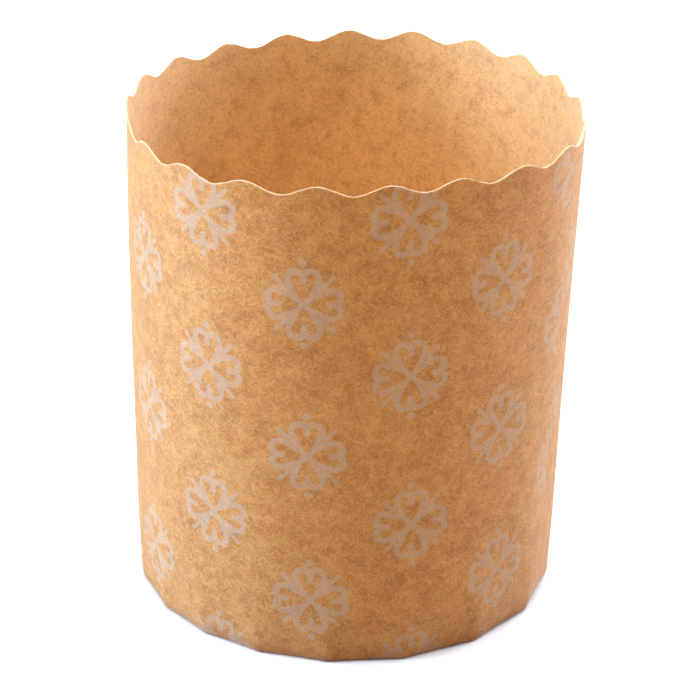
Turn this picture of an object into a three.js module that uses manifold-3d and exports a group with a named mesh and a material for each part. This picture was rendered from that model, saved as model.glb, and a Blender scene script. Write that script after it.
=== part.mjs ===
// Panettone mold: a tall paper baking cup. One strip of kraft paper is rolled into a slightly
// tapered tube and glued in a lap seam. Its mouth is cut in scallops, its foot is slit into tabs
// that are folded in flat, and a round base disc is glued on the tabs from inside.
// Millimetres, +Z up. The mold stands on its folded tabs, with the middle of its outline on Z.

import * as THREE from 'three';
import * as BufferGeometryUtils from 'three/addons/utils/BufferGeometryUtils.js';
import Module from 'manifold-3d';

const wasm = await Module();
wasm.setup();

// Paper
const WALL_PAPER = 0.25; // thickness of the wall's kraft paper
const DISC_PAPER = 0.3; // thickness of the base disc's stiffer paper

// Wall
const FOOT_RADIUS = 35; // to the corners of the folded foot, outside
const MOUTH_RADIUS = 37.4; // mean radius of the mouth, outside
const RIM_HEIGHT = 82.8; // mean height of the scalloped edge
const CREASE_HEIGHT = 17; // where the facets of the folded foot have faded into the round wall

// Mouth: handling has left it a little out of round and out of level
const OVAL = { amount: 0.86, at: 58.9 }; // two-sided, at its widest towards this angle
const TRIANGLE = { amount: 0.46, at: -15.1 }; // three-sided
const SQUARE = { amount: 0.71, at: -28.5 }; // four-sided
const RIM_LEAN = 0.42; // how far the front of the edge lies above the mean, and the back below it
const RIM_WARP = { amount: 0.28, at: 39.2 }; // two-sided rise and fall of the edge

// Scallops of the cut edge
const SCALLOPS = 21;
const SCALLOP_RISE = 0.8; // from the edge's mean height to a tip
const SCALLOP_AT = 6.4; // angle of one tip, degrees
const TIP_CURL = 0.15; // how far a tip bends outwards
const CURL_DEPTH = 4; // how far below the edge that bend begins

// Lap seam: the strip's two ends, one over the other
const LAP_WIDTH = 8.5;
const LAP_START = -22.5; // angle of the inner end's edge, degrees
const LAP_EDGE = 0.2; // run over which the surface steps by one paper
const PRESSED_HEIGHT = 4; // the lap is pressed thin below this height, where it is folded

// Folded foot
const FOLDS = 18;
const FOLD_START = 189.5; // angle of one fold's corner, degrees
const FOLD_CROWDING = 3.8; // how far the corners gather towards the left and right, degrees
const SIDE_DIP = 0.15; // how far each side of the foot is hollow
const BEND_RADIUS = 0.8; // outside radius of the fold
const TAB_LENGTH = 11; // from the wall's face to the tab's free edge
const NOTCH_ROOT = 0.5; // width of the cut between two tabs, at the fold
const NOTCH_MOUTH = 1.6; // and at the tabs' free edges

// Base disc
const DISC_CLEARANCE = 0.15; // between the disc's edge and the bend of the nearest fold
const VENTS = 8;
const VENT_RADIUS = 1.25;
const VENT_CIRCLE = 16; // radius of the ring of steam vents

// Mesh steps
const COLUMNS = 126; // even steps round the wall, besides those at creases and at the lap
const COLUMN_GAP = 0.8; // least angle between an even step and a crease or lap edge, degrees
const BEND_STEPS = 3;
const WALL_LEVELS = [2.5, 6, 11, CREASE_HEIGHT, 48]; // heights of the wall's edge loops
const CURL_STEPS = 3;
const DISC_STEPS = 90; // round the disc's edge
const VENT_STEPS = 16; // round each vent

const KRAFT = { color: 0xc58a52, roughness: 0.9, metalness: 0 };

const radians = THREE.MathUtils.degToRad;
const fullTurn = (degrees) => THREE.MathUtils.euclideanModulo(degrees, 360);
const clamp01 = (value) => THREE.MathUtils.clamp(value, 0, 1);

// The strip is followed from its inner end: along is the angle turned since then, in degrees.
const lapAngle = (LAP_WIDTH / MOUTH_RADIUS) * (180 / Math.PI);
const edgeAngle = (LAP_EDGE / MOUTH_RADIUS) * (180 / Math.PI);
const angleAt = (along) => LAP_START + along;

// Corners of the folded foot, in the order in which the strip meets them
const corners = Array.from({ length: FOLDS }, (_, i) => {
  const even = FOLD_START + (360 / FOLDS) * i;
  const gathered = even - FOLD_CROWDING * Math.cos(2 * radians(even - 270));
  return fullTurn(gathered - LAP_START);
}).sort((a, b) => a - b);

// One side of the foot: the angles of the two corners on either side of a place on the strip
function sideAt(along) {
  const next = corners.findIndex((corner) => corner > along + 1e-9);
  if (next > 0) return [corners[next - 1], corners[next]];
  const last = corners[FOLDS - 1];
  return next === 0 ? [last - 360, corners[0]] : [last, corners[0] + 360];
}

// Outer radius at the fold: straight sides between the corners, each a little hollow
function footRadius(along) {
  const [from, to] = sideAt(along);
  const half = (to - from) / 2;
  const offCentre = along - (from + to) / 2;
  const straight = (FOOT_RADIUS * Math.cos(radians(half))) / Math.cos(radians(offCentre));
  return straight - SIDE_DIP * (1 - (offCentre / half) ** 2);
}

// Outer radius at the mouth, a circle with two-, three- and four-sided waves
function mouthRadius(along) {
  const wave = (shape, sides) => shape.amount * Math.cos(sides * radians(angleAt(along) - shape.at));
  return MOUTH_RADIUS + wave(OVAL, 2) + wave(TRIANGLE, 3) + wave(SQUARE, 4);
}

// Share of the mouth's length passed at an angle: the integral of its radius
function mouthShare(angle) {
  const wave = (shape, sides) => (shape.amount / sides) * Math.sin(sides * radians(angle - shape.at));
  const waves = wave(OVAL, 2) + wave(TRIANGLE, 3) + wave(SQUARE, 4);
  return angle / 360 + waves / (2 * Math.PI * MOUTH_RADIUS);
}

// Scallops are cut at equal lengths along the strip: 1 at a tip, -1 in a valley
function scallop(along) {
  const share = mouthShare(angleAt(along)) - mouthShare(SCALLOP_AT);
  return Math.cos(2 * Math.PI * SCALLOPS * share);
}

function edgeHeight(along) {
  const angle = angleAt(along);
  const lean = -RIM_LEAN * Math.sin(radians(angle));
  const warp = RIM_WARP.amount * Math.cos(2 * radians(angle - RIM_WARP.at));
  return RIM_HEIGHT + lean + warp + SCALLOP_RISE * scallop(along);
}

// How far a ply lies outside the strip's inner end. It climbs by one paper in the turn, so
// that the outer end lies over the inner one.
function plyOffset(turned) {
  return WALL_PAPER * clamp01((turned - lapAngle) / (360 - lapAngle));
}

// Outside and inside of the wall at a place along the strip and a height
function wallRadii(along, height) {
  const facets = clamp01(1 - height / CREASE_HEIGHT) ** 2;
  const flare = (mouthRadius(along) - FOOT_RADIUS) * (height / RIM_HEIGHT);
  const round = FOOT_RADIUS + flare;
  const curlShare = clamp01(1 - (edgeHeight(along) - height) / CURL_DEPTH);
  const curl = TIP_CURL * clamp01((scallop(along) + 1) / 2) * curlShare ** 2;
  const single = round - (FOOT_RADIUS - footRadius(along)) * facets + curl;
  const free = clamp01(height / PRESSED_HEIGHT);
  const isLap = along <= lapAngle + 1e-9;
  const outerPly = plyOffset(isLap ? along + 360 : along);
  return {
    outside: single + outerPly * free,
    inside: single - WALL_PAPER + plyOffset(along) * free,
  };
}

// Columns of the wall's mesh: even steps, the foot's corners and both sides of each lap edge
function stripColumns() {
  const lapEdges = [0, lapAngle, lapAngle + edgeAngle, 360 - edgeAngle];
  const fixed = [...lapEdges, ...corners];
  const apart = (a, b) => Math.abs(THREE.MathUtils.euclideanModulo(a - b + 180, 360) - 180);
  const even = Array.from({ length: COLUMNS }, (_, i) => (360 / COLUMNS) * i);
  const free = even.filter((along) => fixed.every((place) => apart(along, place) > COLUMN_GAP));
  return [...fixed, ...free].sort((a, b) => a - b);
}

// One column of the wall, round its whole section: in from the tab's free edge under the mold,
// round the fold, up the outside, over the cut edge, down the inside and back along the tab
function wallColumn(along) {
  const edge = edgeHeight(along);
  const curlLevels = Array.from({ length: CURL_STEPS }, (_, i) => edge - CURL_DEPTH * (1 - i / CURL_STEPS));
  const levels = [BEND_RADIUS, ...WALL_LEVELS, ...curlLevels, edge];
  const foot = footRadius(along);
  const centre = foot - BEND_RADIUS;
  const tabEdge = foot - TAB_LENGTH;
  const bend = (radius) => Array.from({ length: BEND_STEPS }, (_, i) => {
    const turn = (Math.PI / 2) * (i / BEND_STEPS);
    return [centre + radius * Math.sin(turn), BEND_RADIUS - radius * Math.cos(turn)];
  });
  const outside = levels.map((height) => [wallRadii(along, height).outside, height]);
  const inside = levels.map((height) => [wallRadii(along, height).inside, height]);
  const under = [[tabEdge, 0], ...bend(BEND_RADIUS)];
  const over = [[tabEdge, WALL_PAPER], ...bend(BEND_RADIUS - WALL_PAPER)];
  return [...under, ...outside, ...inside.reverse(), ...over.reverse()].map(([radius, height]) => {
    const angle = radians(angleAt(along));
    return [radius * Math.cos(angle), radius * Math.sin(angle), height];
  });
}

// Closed ring of columns: each point joins its neighbours in the section and in the next column
function ringGeometry(columns) {
  const ring = columns[0].length;
  const index = [];
  columns.forEach((_, i) => {
    const here = i * ring;
    const there = ((i + 1) % columns.length) * ring;
    for (let j = 0; j < ring; j++) {
      const k = (j + 1) % ring;
      index.push(here + j, there + j, there + k, here + j, there + k, here + k);
    }
  });
  const geometry = new THREE.BufferGeometry();
  geometry.setAttribute('position', new THREE.Float32BufferAttribute(columns.flat(2), 3));
  geometry.setIndex(index);
  return geometry;
}

function toSolid(geometry) {
  const bare = geometry.clone();
  bare.deleteAttribute('normal');
  bare.deleteAttribute('uv');
  const merged = BufferGeometryUtils.mergeVertices(bare, 1e-4);
  return new wasm.Manifold(new wasm.Mesh({
    numProp: 3,
    vertProperties: new Float32Array(merged.attributes.position.array),
    triVerts: new Uint32Array(merged.index.array),
  }));
}

function toGeometry(solid) {
  const mesh = solid.getMesh();
  const geometry = new THREE.BufferGeometry();
  geometry.setAttribute('position', new THREE.BufferAttribute(new Float32Array(mesh.vertProperties), 3));
  geometry.setIndex(new THREE.BufferAttribute(new Uint32Array(mesh.triVerts), 1));
  geometry.computeVertexNormals();
  return geometry;
}

// Cut between two tabs: a wedge from the fold's corner inwards, through the paper of the tabs
function notchCutter(corner) {
  const root = FOOT_RADIUS - BEND_RADIUS;
  const mouth = FOOT_RADIUS - TAB_LENGTH;
  const widening = (NOTCH_MOUTH - NOTCH_ROOT) / (root - mouth);
  const beyond = mouth - WALL_PAPER - SIDE_DIP;
  const beyondWidth = NOTCH_ROOT + widening * (root - beyond);
  const outline = new THREE.Shape([
    new THREE.Vector2(root, -NOTCH_ROOT / 2),
    new THREE.Vector2(root, NOTCH_ROOT / 2),
    new THREE.Vector2(beyond, beyondWidth / 2),
    new THREE.Vector2(beyond, -beyondWidth / 2),
  ]);
  const cutter = new THREE.ExtrudeGeometry(outline, { depth: 3 * WALL_PAPER, bevelEnabled: false });
  cutter.translate(0, 0, -WALL_PAPER);
  cutter.rotateZ(radians(angleAt(corner)));
  return toSolid(cutter);
}

function wallGeometry(columns) {
  const notched = corners.reduce(
    (solid, corner) => solid.subtract(notchCutter(corner)),
    toSolid(ringGeometry(columns)),
  );
  return toGeometry(notched);
}

function circlePoints(x, y, radius, steps) {
  return Array.from({ length: steps }, (_, i) => {
    const turn = (2 * Math.PI * i) / steps;
    return new THREE.Vector2(x + radius * Math.cos(turn), y + radius * Math.sin(turn));
  });
}

// Base disc: it lies flat on the tabs, and reaches the bend of the side that comes nearest
function discGeometry() {
  const sides = corners.map((corner) => sideAt(corner));
  const nearest = Math.min(...sides.map(([from, to]) => footRadius((from + to) / 2)));
  const radius = nearest - BEND_RADIUS - DISC_CLEARANCE;
  const outline = new THREE.Shape(circlePoints(0, 0, radius, DISC_STEPS));
  outline.holes = circlePoints(0, 0, VENT_CIRCLE, VENTS)
    .map((centre) => new THREE.Path(circlePoints(centre.x, centre.y, VENT_RADIUS, VENT_STEPS)));
  return new THREE.ExtrudeGeometry(outline, { depth: DISC_PAPER, bevelEnabled: false });
}

const columns = stripColumns().map(wallColumn);

const wall = new THREE.Mesh(wallGeometry(columns), new THREE.MeshStandardMaterial(KRAFT));
wall.name = 'wall';

const baseDisc = new THREE.Mesh(discGeometry(), new THREE.MeshStandardMaterial(KRAFT));
baseDisc.name = 'base_disc';
baseDisc.position.z = WALL_PAPER;

// The mold's frame has the middle of its outline on Z
const outline = new THREE.Box3().setFromPoints(columns.flat().map((point) => new THREE.Vector3(...point)));
const middle = outline.getCenter(new THREE.Vector3());

const mold = new THREE.Group();
mold.position.set(-middle.x, -middle.y, 0);
mold.add(wall, baseDisc);

export default mold;
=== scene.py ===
"""Panettone mold: the looks of a tall paper baking cup, built round its fixed CAD frame."""

import functools
import math

import bpy
import numpy as np
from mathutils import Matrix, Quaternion, Vector


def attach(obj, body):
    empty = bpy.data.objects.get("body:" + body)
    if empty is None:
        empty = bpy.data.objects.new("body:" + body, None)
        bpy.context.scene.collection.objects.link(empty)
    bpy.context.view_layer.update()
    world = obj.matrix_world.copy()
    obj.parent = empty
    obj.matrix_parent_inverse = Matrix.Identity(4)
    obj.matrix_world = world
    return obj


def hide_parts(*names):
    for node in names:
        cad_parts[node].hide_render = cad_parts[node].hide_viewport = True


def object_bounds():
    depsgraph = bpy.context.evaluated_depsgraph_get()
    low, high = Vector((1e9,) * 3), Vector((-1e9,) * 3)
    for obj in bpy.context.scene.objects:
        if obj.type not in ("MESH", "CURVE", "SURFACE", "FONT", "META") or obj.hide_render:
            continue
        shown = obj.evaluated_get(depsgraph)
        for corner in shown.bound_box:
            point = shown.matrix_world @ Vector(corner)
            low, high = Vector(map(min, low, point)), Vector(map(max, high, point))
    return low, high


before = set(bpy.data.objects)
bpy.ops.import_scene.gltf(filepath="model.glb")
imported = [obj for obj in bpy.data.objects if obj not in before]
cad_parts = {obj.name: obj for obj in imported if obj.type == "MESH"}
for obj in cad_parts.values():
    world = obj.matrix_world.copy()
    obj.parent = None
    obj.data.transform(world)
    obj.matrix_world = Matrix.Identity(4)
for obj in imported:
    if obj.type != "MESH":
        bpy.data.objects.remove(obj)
cad_box = [list(corner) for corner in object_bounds()]

# The wall is one strip of kraft paper, printed on its outer face, rolled into a slightly tapered
# tube and glued in a lap seam. Its mouth is cut in scallops. Its foot is slit into tabs, which
# are folded in flat under the base. Lengths are in millimetres until the mesh is made.

MM = 0.001
PAPER = 0.25
FOOT_RADIUS = 35.0
MOUTH_RADIUS = 37.4
RIM_HEIGHT = 82.8
CREASE_HEIGHT = 17.0

# Handling has left the mouth a little out of round: sides of the wave, amount, angle of its crest
MOUTH_WAVES = ((2, 0.86, 58.9), (3, 0.46, -15.1), (4, 0.71, -28.5))
RIM_LEAN = 0.42
RIM_WARP = 0.28
RIM_WARP_AT = 39.2

# How far the handled paper leans sideways near the mouth and halfway up, and the depths of its
# buckles of 5, 9 and 14 waves
MOUTH_SHIFT = 0.25
MIDDLE_SHIFT = 0.11
BUCKLE_5 = 0.07
BUCKLE_9 = 0.05
BUCKLE_14 = 0.04

SCALLOPS = 21
SCALLOP_RISE = 0.8
SCALLOP_AT = 6.4
TIP_CURL = 0.15
CURL_DEPTH = 4.0

LAP_WIDTH = 8.5
LAP_START = -22.5
LAP_EDGE = 0.2
PRESSED_HEIGHT = 4.0

FOLDS = 18
FOLD_START = 189.5
FOLD_CROWDING = 3.8
SIDE_DIP = 0.15
BEND_DEPTH = 0.8
BEND_HEIGHT = 1.6
TAB_LENGTH = 11.0
NOTCH_ROOT = 0.5
NOTCH_MOUTH = 1.6

FRAY = 0.035
SHARED_FRAY = 0.5
INSIDE_SHEET = 40.0
RIM_LOOPS = (0.6, 0.2, 0.05)
SIDE_COLUMNS = 27
WALL_RINGS = 64
BEND_RINGS = 6
TAB_RINGS = 8

lap_angle = math.degrees(LAP_WIDTH / MOUTH_RADIUS)
edge_angle = math.degrees(LAP_EDGE / MOUTH_RADIUS)


def fold_corners():
    """Angles along the strip of the foot's corners: even steps, gathered towards left and right
    by the cosine of twice the angle from the front."""
    even = FOLD_START + 360 / FOLDS * np.arange(FOLDS)
    gathered = even - FOLD_CROWDING * np.cos(2 * np.radians(even - 270))
    return np.sort((gathered - LAP_START) % 360)


corners = fold_corners()


def side_of_foot(along):
    """The two corners on either side of each place, so that from <= along < to."""
    after = np.searchsorted(corners, along, side="right")
    start = np.where(after > 0, corners[after - 1], corners[-1] - 360)
    end = np.where(after < FOLDS, corners[after % FOLDS], corners[0] + 360)
    return start, end


def foot_radius(along):
    """Straight sides between corners on a circle, each hollow by a parabola."""
    start, end = side_of_foot(along)
    half = (end - start) / 2
    off = along - (start + end) / 2
    straight = FOOT_RADIUS * np.cos(np.radians(half)) / np.cos(np.radians(off))
    return straight - SIDE_DIP * (1 - (off / half) ** 2)


def mouth_radius(angle):
    """A circle with two-, three- and four-sided waves."""
    waves = sum(much * np.cos(sides * np.radians(angle - at)) for sides, much, at in MOUTH_WAVES)
    return MOUTH_RADIUS + waves


def mouth_gain(angle):
    """The integral of the mouth's waves over the angle, in millimetres."""
    turns = [(much / sides, sides * np.radians(angle - at)) for sides, much, at in MOUTH_WAVES]
    return sum(much * np.sin(turn) for much, turn in turns)


def scallop(angle):
    """Cosine of equal lengths along the mouth: 1 at a tip, -1 in a valley."""
    share = (angle - SCALLOP_AT) / 360
    share = share + (mouth_gain(angle) - mouth_gain(SCALLOP_AT)) / (2 * np.pi * MOUTH_RADIUS)
    return np.cos(2 * np.pi * SCALLOPS * share)


def edge_height(angle):
    """Mean height, a lean back to front, a two-sided warp, and the scallops."""
    lean = -RIM_LEAN * np.sin(np.radians(angle))
    warp = RIM_WARP * np.cos(2 * np.radians(angle - RIM_WARP_AT))
    return RIM_HEIGHT + lean + warp + SCALLOP_RISE * scallop(angle)


def ply_offset(turned):
    """The strip climbs by one paper in its turn, so that its outer end lies over its inner one."""
    return PAPER * np.clip((turned - lap_angle) / (360 - lap_angle), 0, 1)


def slack(angle, height):
    """How the handled paper gives: it leans to the right near the mouth and to the left lower
    down, and three sine waves round the wall buckle it gently, gone at mouth and foot."""
    turn = np.radians(angle)
    share = np.clip(height / RIM_HEIGHT, 0, 1)
    swell = np.sin(np.pi * share)
    lean = np.cos(turn) * (MOUTH_SHIFT * share**4 - MIDDLE_SHIFT * swell)
    waves = BUCKLE_5 * np.sin(5 * turn + 3 * share) + BUCKLE_9 * np.sin(9 * turn - 4 * share + 1)
    return lean + swell * (waves + BUCKLE_14 * np.sin(14 * turn + 7 * share + 2))


def wall_radius(along, height, inner, settled):
    """A cone from the foot to the mouth, less the flats of the folded foot, which fade upwards as
    a square, plus the curl of the tips and the offset of the ply."""
    angle = LAP_START + along
    cone = FOOT_RADIUS + (mouth_radius(angle) - FOOT_RADIUS) * height / RIM_HEIGHT
    flats = (FOOT_RADIUS - foot_radius(along)) * np.clip(1 - height / CREASE_HEIGHT, 0, 1) ** 2
    near_edge = np.clip(1 - (edge_height(angle) - height) / CURL_DEPTH, 0, 1)
    curl = TIP_CURL * (scallop(angle) + 1) / 2 * near_edge**2
    radius = cone - flats + curl + (slack(angle, height) if settled else 0)
    free = np.clip(height / PRESSED_HEIGHT, 0, 1)
    if inner:
        return radius - PAPER + ply_offset(along) * free
    outermost = np.where(along <= lap_angle + 1e-6, along + 360, along)
    return radius + ply_offset(outermost) * free


def notch_half(radius):
    """Half the angle of the cut between two tabs, which widens evenly inwards."""
    root = FOOT_RADIUS - BEND_DEPTH
    depth = (root - radius) / (TAB_LENGTH - BEND_DEPTH)
    width = NOTCH_ROOT + (NOTCH_MOUTH - NOTCH_ROOT) * depth
    return np.degrees(np.arcsin(width / 2 / radius))


def strip_columns():
    """Even steps between the two edges of each tab, and both sides of each edge of the lap."""
    root = notch_half(FOOT_RADIUS - BEND_DEPTH)
    starts, ends = corners + root, np.append(corners[1:], corners[0] + 360) - root
    steps = np.linspace(0, 1, SIDE_COLUMNS + 1)
    even = starts[:, None] + (ends - starts)[:, None] * steps
    lap_edges = [0, lap_angle, lap_angle + edge_angle, 360 - edge_angle]
    return np.sort(np.concatenate([even.ravel() % 360, lap_edges]))


TAPER = (MOUTH_RADIUS - FOOT_RADIUS) / math.hypot(MOUTH_RADIUS - FOOT_RADIUS, RIM_HEIGHT)
PRINT_UPRIGHT_AT = 233.5


def flat_sheet(angle, height):
    """Where a point lay in the flat strip: a cone unrolled about its apex, with the place where
    the print stands upright on the Y axis, and the fold at Y = 0 there."""
    radius = FOOT_RADIUS + (MOUTH_RADIUS - FOOT_RADIUS) * height / RIM_HEIGHT
    gain = (mouth_gain(angle) - mouth_gain(PRINT_UPRIGHT_AT)) * height / RIM_HEIGHT / radius
    turn = TAPER * (np.radians(angle - PRINT_UPRIGHT_AT) + gain)
    reach = radius / TAPER
    return reach * np.sin(turn), reach * np.cos(turn) - FOOT_RADIUS / TAPER


def wall_section(along, settled):
    """The closed section at every column, as (columns, rings) arrays of angle, radius, height and
    sheet height: out along the tab's underside, round the bend, up the outside, over the cut
    edge, down the inside and in along the tab's upper face."""
    along = along[:, None]
    start, end = side_of_foot(along)
    middle, half = (start + end) / 2, (end - start) / 2
    foot = foot_radius(along)
    angle = LAP_START + along
    edge = edge_height(angle)
    rise = np.linspace(0, 1, WALL_RINGS - len(RIM_LOOPS) + 1)[None, :]
    below_rim = edge - RIM_LOOPS[0] - (edge - RIM_LOOPS[0] - BEND_HEIGHT) * (1 - rise)
    wall_height = np.hstack([below_rim] + [edge - depth for depth in RIM_LOOPS[1:]] + [edge])
    tau = np.linspace(0, np.pi / 2, BEND_RINGS + 1)[None, :-1]
    inward = np.linspace(1, 0, TAB_RINGS + 1)[None, :-1]
    tab_radius = foot - BEND_DEPTH - (TAB_LENGTH - BEND_DEPTH) * inward
    squeeze = (half - notch_half(tab_radius)) / (half - notch_half(FOOT_RADIUS - BEND_DEPTH))
    tab_angle = LAP_START + middle + np.clip(along - middle, -half, half) * squeeze

    def face(inner):
        thick = PAPER if inner else 0.0
        bend_radius = foot - BEND_DEPTH + (BEND_DEPTH - thick) * np.sin(tau)
        bend_height = BEND_HEIGHT - (BEND_HEIGHT - thick) * np.cos(tau) + np.zeros_like(foot)
        radius = [tab_radius, bend_radius, wall_radius(along, wall_height, inner, settled)]
        height = [np.full_like(tab_radius, thick), bend_height, wall_height]
        return np.hstack(radius), np.hstack(height)

    upright = np.broadcast_to(angle, (len(along), BEND_RINGS + WALL_RINGS + 1))
    angles = np.hstack([tab_angle, upright])
    sheet_height = np.hstack([
        -inward * (TAB_LENGTH - BEND_DEPTH) - np.zeros_like(foot),
        BEND_HEIGHT * tau / (np.pi / 2) + np.zeros_like(foot),
        wall_height,
    ])
    outer, inner = face(False), face(True)
    joined = [np.hstack([out, back[:, ::-1]]) for out, back in zip(outer, inner)]
    there_and_back = [np.hstack([each, each[:, ::-1]]) for each in (angles, sheet_height)]
    return there_and_back[0], *joined, there_and_back[1]


def ring_faces(columns, rings, cut_after, tab_rings):
    """Quads of a closed ring of closed sections, faces outwards. After the columns in cut_after
    the tabs are apart: their quads are left out, and the paper's cut sides close each gap."""
    i = np.arange(columns)[:, None]
    j = np.arange(rings)[None, :]
    i_next, j_next = (i + 1) % columns, (j + 1) % rings
    here, there = i * rings, i_next * rings
    quads = np.stack([here + j, there + j, there + j_next, here + j_next], -1)
    in_tab = (j < tab_rings) | (j >= rings - tab_rings - 1)
    whole = ~(np.isin(i, cut_after) & in_tab)
    under = np.arange(tab_rings)
    over = rings - 1 - under
    sides = []
    for column in cut_after:
        here, there = column * rings, (column + 1) % columns * rings
        sides.append(np.stack([here + under, here + under + 1, here + over - 1, here + over], -1))
        sides.append(np.stack([there + under + 1, there + under, there + over, there + over - 1], -1))
        root, root_over = tab_rings, rings - 1 - tab_rings
        sides.append(np.array([[here + root, there + root, there + root_over, here + root_over]]))
    return np.concatenate([quads[whole], *sides])


def new_piece(name, points, faces):
    """A smooth mesh object at the origin, from points in millimetres."""
    mesh = bpy.data.meshes.new(name)
    mesh.from_pydata(points * MM, [], faces)
    mesh.polygons.foreach_set("use_smooth", np.ones(len(mesh.polygons), dtype=bool))
    mesh.validate()
    piece = bpy.data.objects.new(name, mesh)
    bpy.context.collection.objects.link(piece)
    return piece


def paint(piece, name, values):
    """A vector for every point of a piece, for its material to read."""
    attribute = piece.data.attributes.new(name, "FLOAT_VECTOR", "POINT")
    attribute.data.foreach_set("vector", np.ascontiguousarray(values, dtype=np.float32).ravel())


def round_points(angle, radius, height):
    """Points at radius and angle about Z, at a height."""
    turn = np.radians(angle)
    return np.stack([radius * np.cos(turn), radius * np.sin(turn), height], -1)


# The frame has the middle of the untouched wall's outline on Z
along = strip_columns()
untouched = round_points(*wall_section(along, settled=False)[:3])
middle = (untouched.min((0, 1)) + untouched.max((0, 1))) / 2 * [1, 1, 0]
angle, radius, height, sheet_height = wall_section(along, settled=True)
wall_points = round_points(angle, radius, height) - middle

# The cut edge is a little ragged: its two rings rise and fall at random from column to column
columns, rings = radius.shape
random = np.random.default_rng(7)
single = random.normal(0, FRAY, columns)
ragged = single + np.roll(single, 1) * SHARED_FRAY
for ring in (rings // 2 - 1, rings // 2):
    wall_points[:, ring, 2] += ragged + random.normal(0, FRAY / 3, columns)
wall_points = np.clip(wall_points, np.divide(cad_box[0], MM), np.divide(cad_box[1], MM))
_, end = side_of_foot(along)
root_angle = notch_half(FOOT_RADIUS - BEND_DEPTH)
cut_after = np.flatnonzero(end - along < root_angle + 1e-6)
faces = ring_faces(columns, rings, cut_after, TAB_RINGS)
wall = new_piece("paper_wall", wall_points.reshape(-1, 3), faces.tolist())

sheet_x, sheet_y = flat_sheet(angle, sheet_height)
outer_face = np.broadcast_to(np.arange(rings) < rings // 2, angle.shape)
from_edge = edge_height(angle) - sheet_height
paint(wall, "sheet", np.stack([sheet_x, sheet_y, np.where(outer_face, 0.0, INSIDE_SHEET)], -1))
paint(wall, "face", np.stack([outer_face, from_edge, sheet_height], -1))


class Wire:
    """An output socket of a material, so that shader maths reads as plain expressions."""

    def __init__(self, tree, socket):
        self.tree = tree
        self.socket = socket

    def node(self, kind, inputs, output=0, **settings):
        """A node of that kind: its settings first, then values or wires by socket."""
        made = self.tree.nodes.new(kind)
        for name, value in settings.items():
            setattr(made, name, value)
        for key, value in inputs.items():
            if isinstance(value, Wire):
                self.tree.links.new(value.socket, made.inputs[key])
            else:
                made.inputs[key].default_value = value
        return Wire(self.tree, made.outputs[output])

    def math(self, operation, *values):
        """A maths node of that operation."""
        return self.node("ShaderNodeMath", dict(enumerate(values)), operation=operation)

    def __add__(self, other):
        return self.math("ADD", self, other)

    __radd__ = __add__

    def __sub__(self, other):
        return self.math("SUBTRACT", self, other)

    def __rsub__(self, other):
        return self.math("SUBTRACT", other, self)

    def __mul__(self, other):
        return self.math("MULTIPLY", self, other)

    __rmul__ = __mul__

    def __pow__(self, other):
        return self.math("POWER", self, other)

    def __abs__(self):
        return self.math("ABSOLUTE", self)

    def least(self, other):
        return self.math("MINIMUM", self, other)

    def most(self, other):
        return self.math("MAXIMUM", self, other)

    def hypot(self, other):
        return self.math("SQRT", self * self + other * other)

    def step(self, low, high):
        """0 below low and 1 above high, with a smooth rise between. High may be the lesser."""
        if low > high:
            return 1 - self.step(high, low)
        limits = {0: self, 1: low, 2: high, 3: 0.0, 4: 1.0}
        return self.node("ShaderNodeMapRange", limits, interpolation_type="SMOOTHSTEP")

    def mix(self, first, second):
        """Colours mixed by this factor."""
        return self.node("ShaderNodeMix", {0: self, 6: first, 7: second}, output=2, data_type="RGBA")

    def parts(self):
        """The three numbers of a vector."""
        return [self.node("ShaderNodeSeparateXYZ", {0: self}, output=axis) for axis in range(3)]

    def moved(self, by, scale=1.0):
        """A vector plus another one, scaled."""
        scaled = self.node("ShaderNodeVectorMath", {0: by, 3: scale}, operation="SCALE")
        return self.node("ShaderNodeVectorMath", {0: self, 1: scaled}, operation="ADD")

    def turned(self, degrees, long, wide, shift):
        """A vector turned about Z and measured in units of long by wide."""
        place, turn = (shift, 7 * shift, 0), (0, 0, math.radians(degrees))
        settings = {0: self, 1: place, 2: turn, 3: (long, wide, 1)}
        return self.node("ShaderNodeMapping", settings, vector_type="TEXTURE")

    def noise(self, scale=1.0, detail=0.0, roughness=0.5, output=0):
        """Noise at this vector: its value, or its colour as output 1."""
        settings = {"Vector": self, "Scale": scale, "Detail": detail, "Roughness": roughness}
        return self.node("ShaderNodeTexNoise", settings, output=output)


def new_material(name, roughness):
    """A Principled material, its shader, and a wire to start new nodes from."""
    made = bpy.data.materials.new(name)
    made.use_nodes = True
    shader = made.node_tree.nodes["Principled BSDF"]
    shader.inputs["Roughness"].default_value = roughness
    return made, shader, Wire(made.node_tree, None)


# Kraft colours, linear
PAPER_LIGHT = (0.9, 0.54, 0.19, 1)
PAPER_DARK = (0.3, 0.1, 0.015, 1)
PAPER_RED = (0.61, 0.26, 0.054, 1)
PAPER_OLIVE = (0.59, 0.285, 0.052, 1)
# The inside face and the disc are painted paler than the outer face: painted light, for the light that
# falls inside the mold
INSIDE_PAINTED_LIGHT = (0.9, 0.62, 0.26, 1)
INSIDE_PAINTED_LIGHT_SHARE = 0.7
# Pale cut fibres at the mouth's edge, with a painted highlight where the rim catches light
PALE_CUT_EDGE_AND_HIGHLIGHT = (0.9, 0.71, 0.42, 1)
INK = (0.56, 0.525, 0.43, 1)
GLOW = (0.95, 0.5, 0.14, 1)

# Length and width of the two kinds of fibre, how far they bend, and the relief of the paper, its
# depth in metres
PALE_FIBRE = (2.3, 0.21)
DARK_FIBRE = (1.1, 0.22)
FIBRE_BEND = 1.7
RELIEF_STRENGTH = 0.35
RELIEF_DEPTH = 0.00006

# The share of light that comes through the paper
SEEN_THROUGH = 0.17


def fibres(bent, turns, size, first, pitch, low, high):
    """The most of several noises, each turned, stretched to a fibre's size and cut off at a level."""
    shifts = [first + pitch * number for number in range(len(turns))]
    layers = [
        bent.turned(degrees, *size, shift).noise().step(low, high) for degrees, shift in zip(turns, shifts)
    ]
    return functools.reduce(Wire.most, layers)


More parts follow.
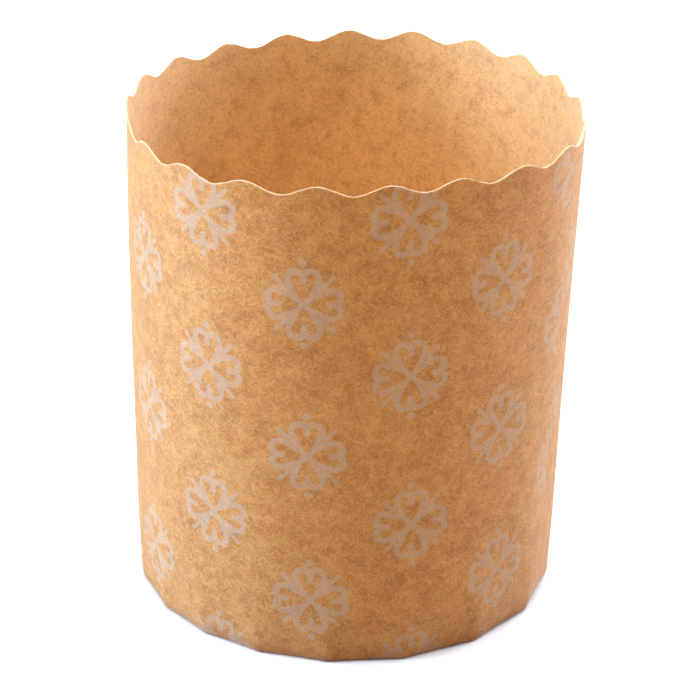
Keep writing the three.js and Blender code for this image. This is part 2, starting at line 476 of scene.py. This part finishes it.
def kraft(sheet, inside):
    """Kraft paper on a flat sheet in millimetres: soft clouds, pale and dark short fibres lying
    at many angles, each a stretched noise cut off at a level. Returns colour and height."""
    wander = sheet.noise(0.55, 1.0, output=1)
    bent = sheet.moved(wander, FIBRE_BEND)
    pale = fibres(bent, (-68, -40, -15, 22, 48, 80), PALE_FIBRE, 0, 3.1, 0.63, 0.75)
    dark = fibres(bent, (-55, -10, 35, 70), DARK_FIBRE, 11, 2.3, 0.64, 0.76)
    cloud = sheet.noise(0.35, 3.0, 0.6)
    patch = sheet.moved((31.0, 17.0, 0.0)).noise(0.09, 2.0)
    hue = sheet.moved((5.0, 71.0, 0.0)).noise(0.5, 2.0)
    grain = sheet.noise(3.2, 1.0)
    base = hue.step(0.38, 0.62).mix(PAPER_RED, PAPER_OLIVE)
    # Painted light: the inside face is mixed towards a paler colour for the light inside the mold
    base = (inside * INSIDE_PAINTED_LIGHT_SHARE).mix(base, INSIDE_PAINTED_LIGHT)
    shades = (
        (cloud, 0.45, 0.75, 0.4, PAPER_LIGHT),
        (cloud, 0.55, 0.28, 0.42, PAPER_DARK),
        (patch, 0.5, 0.72, 0.2, PAPER_LIGHT),
        (patch, 0.5, 0.28, 0.24, PAPER_DARK),
        (grain, 0.5, 0.25, 0.24, PAPER_DARK),
        (grain, 0.5, 0.75, 0.16, PAPER_LIGHT),
    )
    for field, none, full, share, tint in shades:
        base = (field.step(none, full) * share).mix(base, tint)
    base = (pale * 0.5).mix(base, PAPER_LIGHT)
    base = (dark * 0.4).mix(base, PAPER_DARK)
    return base, pale * 0.6 - dark * 0.5 + grain * 0.5 + cloud * 0.5


# Print lattice: columns apart, motifs apart in a column, and one motif's centre
COLUMN_PITCH = 16.4
MOTIF_PITCH = 26.32
PRINT_X = 17.3
PRINT_Y = 64.36

# The share of ink on the paper: the least, and what varies
INK_LEAST = 0.3
INK_UNEVEN = 0.34

# Half the soft border of the ink
INK_SOFT = 0.09

# One petal's outline: how far out it reaches, its centre line and its half width
PETAL_REACH = 4.4
PETAL_CENTRE = 1.12
PETAL_HALF = 1.75

# The heart that hollows it: where its point lies, how far its flanks run out, their half width and
# power, and its two lobes and the tongue between them
HEART_POINT = 0.75
FLANK_LENGTH = 3.6
FLANK_HALF = 1.92
FLANK_POWER = 0.62
LOBE_REACH = 4.35
LOBE_CENTRE = 1.2
LOBE_RADIUS = 0.72
LOBE_BLEND = 0.01
TONGUE_REACH = 3.85
TONGUE_HALF = 0.52

# The rays between the petals, and the dots above and below
RAY_START = 4.0
RAY_END = 6.3
RAY_HALF = 0.36
DOT_HEIGHT = 7.0
DOT_RADIUS = 0.6


def heart_quatrefoil(x, y):
    """Four outlined hearts with their points together, four rays between them and a dot above
    and below. One petal, folded over both diagonals, serves for all: its outline is a bar with a
    round end, hollowed by a heart. Returns roughly the distance outside the ink."""
    out, across = abs(x).most(abs(y)), abs(x).least(abs(y))
    outline = (out - PETAL_REACH).most(0).hypot(across - PETAL_CENTRE) - PETAL_HALF
    reach = ((out - HEART_POINT) * (1 / FLANK_LENGTH)).most(0).least(1)
    flank = across - FLANK_HALF * reach**FLANK_POWER
    lobe = (out - LOBE_REACH).most(0).hypot(across - LOBE_CENTRE) - LOBE_RADIUS
    past = out.step(LOBE_REACH - LOBE_BLEND, LOBE_REACH + LOBE_BLEND)
    hollow = flank * (1 - past) + lobe * past
    tongue = (out - TONGUE_REACH).least(0).hypot(across) - TONGUE_HALF
    hollow = hollow.most(HEART_POINT - out).most(0 - tongue)
    body = outline.most(0 - hollow)
    along_ray = (out + across) * math.sqrt(0.5)
    beside_ray = (out - across) * math.sqrt(0.5)
    beyond = (RAY_START - along_ray).most(along_ray - RAY_END).most(0)
    ray = beyond.hypot(beside_ray) - RAY_HALF
    dot = x.hypot(abs(y) - DOT_HEIGHT) - DOT_RADIUS
    return body.least(ray).least(dot)


def printed(sheet_x, sheet_y):
    """The print's distance field: a half-drop lattice of one motif."""
    p = (sheet_x - PRINT_X) * (1 / COLUMN_PITCH)
    column = p.math("ROUND", p)
    drop = column.math("PINGPONG", column, 1.0) * 0.5
    q = (sheet_y - PRINT_Y) * (1 / MOTIF_PITCH) + drop
    return heart_quatrefoil((p - column) * COLUMN_PITCH, (q - q.math("ROUND", q)) * MOTIF_PITCH)


def dress_in_kraft(name, with_print):
    """Kraft paper, and on the wall its print, a pale cut edge that is partly cut fibres and partly a
    painted highlight, and a darker band at the fold that is partly scuffing and partly painted
    shade. A piece without a face vector reads as inside all over, so it takes the inside's painted
    light too."""
    made, shader, start = new_material(name, 0.52)
    shader.inputs["Specular IOR Level"].default_value = 0.7
    shader.inputs["Sheen Weight"].default_value = 0.3
    shader.inputs["Sheen Roughness"].default_value = 0.5
    if with_print:
        sheet = start.node("ShaderNodeAttribute", {}, output=1, attribute_name="sheet")
    else:
        place = start.node("ShaderNodeTexCoord", {}, output=3)
        sheet = start.node("ShaderNodeVectorMath", {0: place, 3: 1 / MM}, operation="SCALE")
    face = start.node("ShaderNodeAttribute", {}, output=1, attribute_name="face")
    outside, from_edge, above_fold = face.parts()
    colour, relief = kraft(sheet, outside.step(0.6, 0.4))
    if with_print:
        cover = printed(*sheet.parts()[:2]).step(INK_SOFT, -INK_SOFT) * outside.step(0.4, 0.6)
        cover = cover * (INK_LEAST + INK_UNEVEN * sheet.noise(1.4, 2.0))
        colour = cover.mix(colour, INK)
        frayed = sheet.noise(1.7, 2.0)
        # A band at the fold is darkened: partly scuffing of the fibres, partly painted shade in the crease
        # of the bend
        scuff_and_fold_shade = above_fold.step(2.6, 0.6) * above_fold.step(-1.0, 0.0) * frayed.step(0.3, 0.6)
        colour = (scuff_and_fold_shade * 0.2).mix(colour, PAPER_DARK)
        # The cut edge is painted pale: partly its cut fibres, partly a painted highlight, stronger on the
        # outer face
        edge = (from_edge + 0.35 * frayed).step(0.46, 0.28) * frayed.step(0.25, 0.6)
        colour = (edge * (0.3 + 0.5 * outside)).mix(colour, PALE_CUT_EDGE_AND_HIGHLIGHT)
    made.node_tree.links.new(colour.socket, shader.inputs["Base Color"])
    bump_values = {"Strength": RELIEF_STRENGTH, "Distance": RELIEF_DEPTH, "Height": relief}
    bump = relief.node("ShaderNodeBump", bump_values)
    made.node_tree.links.new(bump.socket, shader.inputs["Normal"])
    seen_through = start.node("ShaderNodeBsdfTranslucent", {"Color": GLOW})
    surface = Wire(made.node_tree, shader.outputs[0])
    paper = start.node("ShaderNodeMixShader", {0: SEEN_THROUGH, 1: surface, 2: seen_through})
    output = made.node_tree.nodes["Material Output"]
    made.node_tree.links.new(paper.socket, output.inputs["Surface"])
    return made


wall.data.materials.append(dress_in_kraft("printed_kraft_paper", with_print=True))
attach(wall, "root")
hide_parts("wall")

# The base disc is a round piece of plain kraft paper with a ring of punched steam vents. It is
# glued on the folded tabs from inside.

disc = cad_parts["base_disc"]
disc.data.materials.clear()
disc.data.materials.append(dress_in_kraft("plain_kraft_paper", with_print=False))

# The floor is a plain sheet under the mold. The camera sees it pale, and the light that it throws
# back on the paper is dimmer and warm, as from a board.

FLOOR_REACH = 3.0
FLOOR_SEEN = (0.9, 0.9, 0.9, 1)
FLOOR_BOUNCE = (0.48, 0.33, 0.2, 1)

floor_mesh = bpy.data.meshes.new("floor")
floor_corners = [(-1, -1, 0), (1, -1, 0), (1, 1, 0), (-1, 1, 0)]
floor_mesh.from_pydata([Vector(corner) * FLOOR_REACH for corner in floor_corners], [], [(0, 1, 2, 3)])
floor = bpy.data.objects.new("floor", floor_mesh)
bpy.context.collection.objects.link(floor)
floor_material, floor_shader, start = new_material("floor_white", 0.9)
camera_ray = start.node("ShaderNodeLightPath", {}, output=0)
floor_colour = camera_ray.mix(FLOOR_BOUNCE, FLOOR_SEEN)
floor_material.node_tree.links.new(floor_colour.socket, floor_shader.inputs["Base Color"])
floor_shader.inputs["Specular IOR Level"].default_value = 0.1
floor_mesh.materials.append(floor_material)

# Light: soft cool lamps from the left, plain ones from above, and weaker fresh ones from the
# right. The surround is white to the camera and dim to the paper.

LAMP_DISTANCE = 0.8
LAMP_SIZE = 0.45
LAMPS_FACE = 0.045
SURROUND = 0.05


def soft_light(name, direction, power, colour=(1, 1, 1)):
    """A square area light that faces the middle of the mold."""
    data = bpy.data.lights.new(name, "AREA")
    data.size = LAMP_SIZE
    data.energy = power
    data.color = colour
    light = bpy.data.objects.new(name, data)
    target = Vector((0, 0, LAMPS_FACE))
    light.location = target + Vector(direction).normalized() * LAMP_DISTANCE
    light.rotation_euler = (target - light.location).to_track_quat("-Z", "Y").to_euler()
    bpy.context.collection.objects.link(light)


COOL = (0.68, 1.03, 1.55)
FRESH = (0.9, 1.0, 1.2)
soft_light("key_low", (-1.0, -0.1, 0.25), 7.4, COOL)
soft_light("key_high", (-1.0, -0.05, 0.9), 3.1)
soft_light("key_front", (-1.0, -0.9, 0.5), 0.35)
soft_light("top", (0.0, 0.0, 1.0), 5.4)
soft_light("top_back", (0.0, 1.0, 1.0), 5.0)
soft_light("top_front", (0.0, -0.5, 1.0), 2.1)
soft_light("right_back", (1.0, 0.8, 0.5), 6.6, FRESH)
soft_light("right_low", (1.0, 0.05, 0.3), 2.3, FRESH)

world = bpy.data.worlds.new("surround")
bpy.context.scene.world = world
world.use_nodes = True
background = world.node_tree.nodes["Background"]
background.inputs["Color"].default_value = (1, 1, 1, 1)
start = Wire(world.node_tree, None)
to_camera = start.node("ShaderNodeLightPath", {}, output=0)
world.node_tree.links.new((SURROUND + (1 - SURROUND) * to_camera).socket, background.inputs["Strength"])

# The camera stands where the photograph was taken from.

FOCAL_PIXELS = 2967.6
FRAME_PIXELS = 700
CENTRE_X = 348.0
CENTRE_Y = 338.2
CAMERA_DISTANCE = 494.8
CAMERA_ELEVATION = math.radians(24.66)
CAMERA_ROLL = math.radians(1.02)
LOOK_AT_HEIGHT = 42.0

camera_data = bpy.data.cameras.new("camera")
camera_data.sensor_width = 36
camera_data.lens = FOCAL_PIXELS * camera_data.sensor_width / FRAME_PIXELS
camera_data.shift_x = (FRAME_PIXELS / 2 - CENTRE_X) / FRAME_PIXELS
camera_data.shift_y = (CENTRE_Y - FRAME_PIXELS / 2) / FRAME_PIXELS
camera = bpy.data.objects.new("camera", camera_data)
back = Vector((0, -math.cos(CAMERA_ELEVATION), math.sin(CAMERA_ELEVATION)))
look_at = Vector((0, 0, LOOK_AT_HEIGHT)) - Vector(middle)
camera.location = (look_at + back * CAMERA_DISTANCE) * MM
camera.rotation_mode = "QUATERNION"
camera.rotation_quaternion = (-back).to_track_quat("-Z", "Y") @ Quaternion((0, 0, 1), CAMERA_ROLL)
bpy.context.collection.objects.link(camera)
bpy.context.scene.camera = camera
bpy.context.scene.view_settings.view_transform = "Standard"
